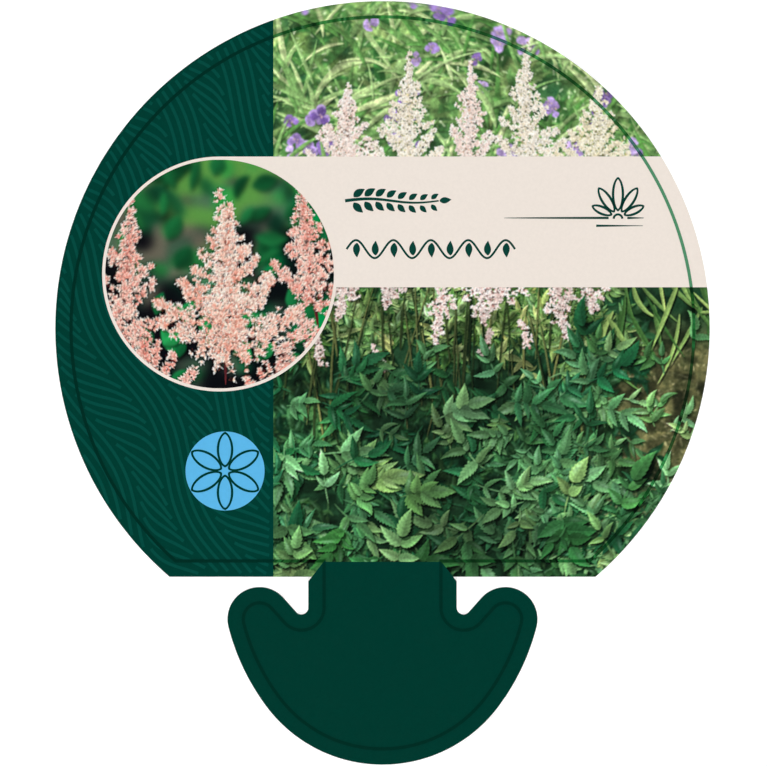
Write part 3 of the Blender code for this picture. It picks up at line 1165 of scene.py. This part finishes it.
class LABEL_OT_band(bpy.types.Operator):
    """Print the cream band, which runs from behind the round picture to the plate's right edge"""

    bl_idname = "plant_label.band"
    bl_label = "Print the cream band"

    def execute(self, context):
        sizes, inks = context.scene.label_print, context.scene.label_inks
        top, bottom = sizes.band_top / MM, sizes.band_bottom / MM
        centre, radius = np.array(sizes.ring_centre) / MM, sizes.ring_radius / MM
        meets = TAU + np.arcsin((bottom - centre[1]) / radius)
        low, high = (np.arcsin((y - PLATE_CENTRE[1]) / PRINT_RADIUS) for y in (bottom, top))
        ring, rim = arc(centre, radius, np.pi / 2, meets, 160), arc(PLATE_CENTRE, PRINT_RADIUS, low, high, 30)
        film = flat_film("cream_band", np.concatenate((ring, rim)), 3)
        finish_piece(film, ink_material("cream_ink", tuple(inks.cream), 0.015))
        return {"FINISHED"}


class LABEL_OT_close_up(bpy.types.Operator):
    """Print the round picture of a plume inside its cream ring"""

    bl_idname = "plant_label.close_up"
    bl_label = "Print the round picture"

    def execute(self, context):
        sizes = context.scene.label_print
        centre = np.array(sizes.ring_centre) / MM
        radius = (sizes.ring_radius - sizes.ring_width) / MM
        rise = np.linspace(-np.pi / 2 + ROUND_GAP, np.pi / 2 - ROUND_GAP, ROUND_PLACES)
        y = np.sin(rise)[:, None] * radius
        share = np.linspace(-1, 1, ROUND_PLACES)[None]
        x = centre[0] + np.sqrt(radius**2 - y**2) * share
        y = np.broadcast_to(centre[1] + y, x.shape)
        drawing = picture("close_up", draw_close_up, centre, radius + ROUND_MARGIN)
        film = picture_film("round_picture", x, y, as_light(drawing.read(x, y)), 4)
        finish_piece(film, ink_material("round_picture_ink", None, 0.03))
        return {"FINISHED"}


class LABEL_OT_disc(bpy.types.Operator):
    """Print the blue disc and the six-petalled rosette drawn on it"""

    bl_idname = "plant_label.disc"
    bl_label = "Print the blue disc"

    def execute(self, context):
        sizes, inks = context.scene.label_print, context.scene.label_inks
        centre, radius = np.array(sizes.disc_centre) / MM, sizes.disc_radius / MM
        disc = flat_film("blue_disc", arc(centre, radius, 0, TAU, 121)[:-1], 3)
        finish_piece(disc, ink_material("blue_ink", tuple(inks.blue), 0.02))
        petals = []
        for turn in np.arange(ROSETTE_PETALS) * TAU / ROSETTE_PETALS + TAU / 4:
            foot = centre + 0.12 * radius * towards(turn)
            petals.append(leaf_outline(foot, turn, 0.84 * radius, 0.36 * radius, 0.3))
        rosette = line_solid("disc_rosette", petals, 4, closed=True)
        finish_piece(rosette, ink_material("rosette_ink", tuple(inks.foot)))
        return {"FINISHED"}


class LABEL_OT_ornaments(bpy.types.Operator):
    """Print the dark green drawings on the band: a leafy twig, a leafy scroll and a sprout on its ground"""

    bl_idname = "plant_label.ornaments"
    bl_label = "Print the band's ornaments"

    def execute(self, context):
        ink = ink_material("ornament_ink", tuple(context.scene.label_inks.ornament))
        for name, drawn, closed in (
            ("band_twig", self.twig(), False), ("band_scroll", self.scroll(), False),
            ("band_ground", self.ground(), False), ("band_sprout", self.sprout(), True),
        ):
            finish_piece(line_solid(name, drawn, 4, closed), ink)
        return {"FINISHED"}

    def twig(self):
        """A wavy stem with pairs of filled leaves that shrink towards its tip, and a leaf at its end."""
        t = np.linspace(0, 1, 60)
        wave = 0.25 * np.sin(TAU * t)
        stem = np.column_stack((TWIG_START[0] + TWIG_LENGTH * t, TWIG_START[1] + wave))
        strips = [strip_edges(stem, 0.42 - 0.22 * t)]
        for k in range(TWIG_PAIRS):
            size = 1.72 - 0.09 * k
            for side in (1, -1):
                foot, heading = stem[5 + 7 * k] + (0.1, side * 0.36), side * 0.92 - 0.1
                strips.append(filled_leaf(foot, heading, size, 0.52 * size, side * -0.4))
        strips.append(filled_leaf(stem[-1] + (0.12, 0), 0.1, 1.5, 0.75, 0))
        return strips

    def scroll(self):
        """A stem that swings up and down, with a filled leaf in each of its bends."""
        t = np.linspace(0, 1, 240)
        wave = SCROLL_SWING * np.sin(TAU * SCROLL_LEAVES / 2 * t)
        stem = np.column_stack((SCROLL_START[0] + SCROLL_LENGTH * t, SCROLL_START[1] + wave))
        strips = [strip_edges(stem, 0.27)]
        for k in range(SCROLL_LEAVES):
            crest, side = (k + 0.5) * SCROLL_LENGTH / SCROLL_LEAVES, 1 - 2 * (k % 2)
            foot = SCROLL_START + (crest + 0.15, side * 0.80)
            strips.append(filled_leaf(foot, -side * 1.75, 1.85, 0.85, side * 0.35))
        return strips

    def ground(self):
        """Two ground lines, one fading in from the left and one fading out to the right, and a bulb."""
        t = np.linspace(0, 1, 30)

        def level_line(start, length, height, width):
            return strip_edges(np.column_stack((start + length * t, np.full(t.size, height))), width)

        bulb = arc((SPROUT_FOOT[0], GROUND_LEVEL - 0.1), 0.55, 0, np.pi, 16)
        return [
            level_line(15.6, 13.4, GROUND_LEVEL, 0.04 + 0.26 * t**0.6),
            level_line(27.4, 6.0, GROUND_LEVEL - 1, GROUND_WIDTH - 0.24 * t),
            strip_edges(bulb, 0.28),
            level_line(31.4, 2.1, GROUND_LEVEL, GROUND_WIDTH - 0.22 * t),
        ]

    def sprout(self):
        """A fan of leaves drawn as outlines, the middle one tallest, between two small ones."""
        leaves = []
        for turn, length in SPROUT_LEAVES:
            foot = SPROUT_FOOT + 0.95 * towards(turn)
            leaves.append(leaf_outline(foot, turn, length, 0.26 * length + 0.2, 0.32))
        return leaves


class LABEL_OT_edge_line(bpy.types.Operator):
    """Print the fine line that follows the cut edge, darker or brighter with what it is printed over"""

    bl_idname = "plant_label.edge_line"
    bl_label = "Print the fine line"

    def execute(self, context):
        sizes, inks = context.scene.label_print, context.scene.label_inks
        inset, half = sizes.line_inset / MM, sizes.line_width / MM / 2
        loops = [cut_line(inset + shift) for shift in (-half, half)]
        loops = [np.concatenate((loop, loop[:1])) for loop in loops]
        index = np.arange(len(loops[0]))
        run = np.concatenate(([0], np.cumsum(np.linalg.norm(np.diff(loops[0], axis=0), axis=1))))
        fine = np.union1d(index, np.interp(np.arange(0, run[-1], FINE_LINE_STEP), run, index))[:-1]
        outer, inner = (np.column_stack([np.interp(fine, index, axis) for axis in loop.T]) for loop in loops)
        x, y = (outer + inner).T / 2
        edge, top, bottom = sizes.field_edge / MM, sizes.band_top / MM, sizes.band_bottom / MM
        above = (y > (top + bottom) / 2)[:, None]
        under = np.where(above, meadow(sizes).read(x, y), foliage(sizes).read(x, y))
        green = (x < edge) | (y < SHOULDER) | ((y < SHOULDER + NECK_CORNER) & (np.abs(x) < NECK_HALF))
        cream = (x > 0) & (y > bottom) & (y < top)
        under = np.where(cream[:, None], rgb(*CREAM_SEEN), under)
        over_print = as_light(under * tuple(inks.fine_line))
        ink = np.where(green[:, None], tuple(inks.fine_line_on_green), over_print)
        line = line_solid("edge_line", [(outer, inner)], 5, closed=True, ink=ink)
        finish_piece(line, ink_material("line_ink"))
        return {"FINISHED"}


class LABEL_OT_stage(bpy.types.Operator):
    """Set the pale floor, the soft lamps, the dim sky and the camera that looks straight down"""

    bl_idname = "plant_label.stage"
    bl_label = "Set the stage"

    def execute(self, context):
        scene, stage = context.scene, context.scene.label_stage
        mesh = bpy.data.meshes.new("floor")
        corners = ((-1, -1), (1, -1), (1, 1), (-1, 1))
        places = [(x * FLOOR_HALF, y * FLOOR_HALF, FLOOR_RISE) for x, y in corners]
        mesh.from_pydata(places, [], [(0, 1, 2, 3)])
        floor = bpy.data.objects.new("floor", mesh)
        scene.collection.objects.link(floor)
        material, tree, shader = bare_material("pale_floor")
        set_inputs(tree, shader, {
            "Base Color": mottled(tree, tuple(stage.floor_colour), 0.004),
            "Roughness": 0.9, "Specular IOR Level": 0.1,
            "Emission Color": (1, 1, 1, 1), "Emission Strength": stage.floor_glow,
        })
        mesh.materials.append(material)

        for name, turn in LAMPS:
            light = bpy.data.lights.new(name, "AREA")
            light.shape = "SQUARE"
            light.size = LAMP_SIZE
            light.energy = stage.lamp_power
            lamp = bpy.data.objects.new(name, light)
            scene.collection.objects.link(lamp)
            angle = np.radians(turn)
            lamp.location = (*towards(angle) * np.cos(LAMP_RISE), np.sin(LAMP_RISE))
            lamp.rotation_euler = (0, np.pi / 2 - LAMP_RISE, angle)

        world = bpy.data.worlds.new("dim_sky")
        world.use_nodes = True
        scene.world = world
        tree = world.node_tree
        where = add_node(tree, "TexCoord", {}).outputs["Generated"]
        height = add_node(tree, "SeparateXYZ", {"Vector": where}).outputs["Z"]
        ramp = add_node(tree, "ValToRGB", {"Fac": height})
        ramp.color_ramp.elements.new(0.5)
        for element, (level, grey) in zip(ramp.color_ramp.elements, SKY):
            element.position, element.color = level, (grey, grey, grey, 1)
        set_inputs(tree, tree.nodes["Background"], {"Color": ramp.outputs["Color"]})
        scene.view_settings.view_transform = "Standard"

        camera = bpy.data.cameras.new("camera")
        camera.lens, camera.sensor_width = stage.lens, SENSOR_WIDTH
        camera.clip_start, camera.clip_end = 0.01, 20
        viewer = bpy.data.objects.new("camera", camera)
        scene.collection.objects.link(viewer)
        distance = stage.view_width * camera.lens / camera.sensor_width
        viewer.location = (*CAMERA_PLACE, SHEET_FACE * MM + distance)
        scene.camera = viewer
        return {"FINISHED"}


OPERATORS = (
    LABEL_OT_sheet, LABEL_OT_field, LABEL_OT_foot, LABEL_OT_garden, LABEL_OT_band, LABEL_OT_close_up,
    LABEL_OT_disc, LABEL_OT_ornaments, LABEL_OT_edge_line, LABEL_OT_stage,
)
SETTINGS = (("label_print", LabelPrintSizes), ("label_inks", LabelInks), ("label_stage", LabelStage))


class LABEL_PT_panel(bpy.types.Panel):
    """Lists the steps that make the label, in order"""

    bl_idname = "LABEL_PT_panel"
    bl_label = "Plant label"
    bl_space_type = "VIEW_3D"
    bl_region_type = "UI"
    bl_category = "Plant label"

    def draw(self, context):
        for step in OPERATORS:
            self.layout.operator(step.bl_idname)


def register():
    for name, group in SETTINGS:
        bpy.utils.register_class(group)
        setattr(bpy.types.Scene, name, bpy.props.PointerProperty(type=group))
    for step in (*OPERATORS, LABEL_PT_panel):
        bpy.utils.register_class(step)


def unregister():
    for step in reversed((*OPERATORS, LABEL_PT_panel)):
        bpy.utils.unregister_class(step)
    for name, group in reversed(SETTINGS):
        delattr(bpy.types.Scene, name)
        bpy.utils.unregister_class(group)


def main():
    register()
    for step in OPERATORS:
        group, call = step.bl_idname.split(".")
        getattr(getattr(bpy.ops, group), call)()


if __name__ == "__main__":
    main()
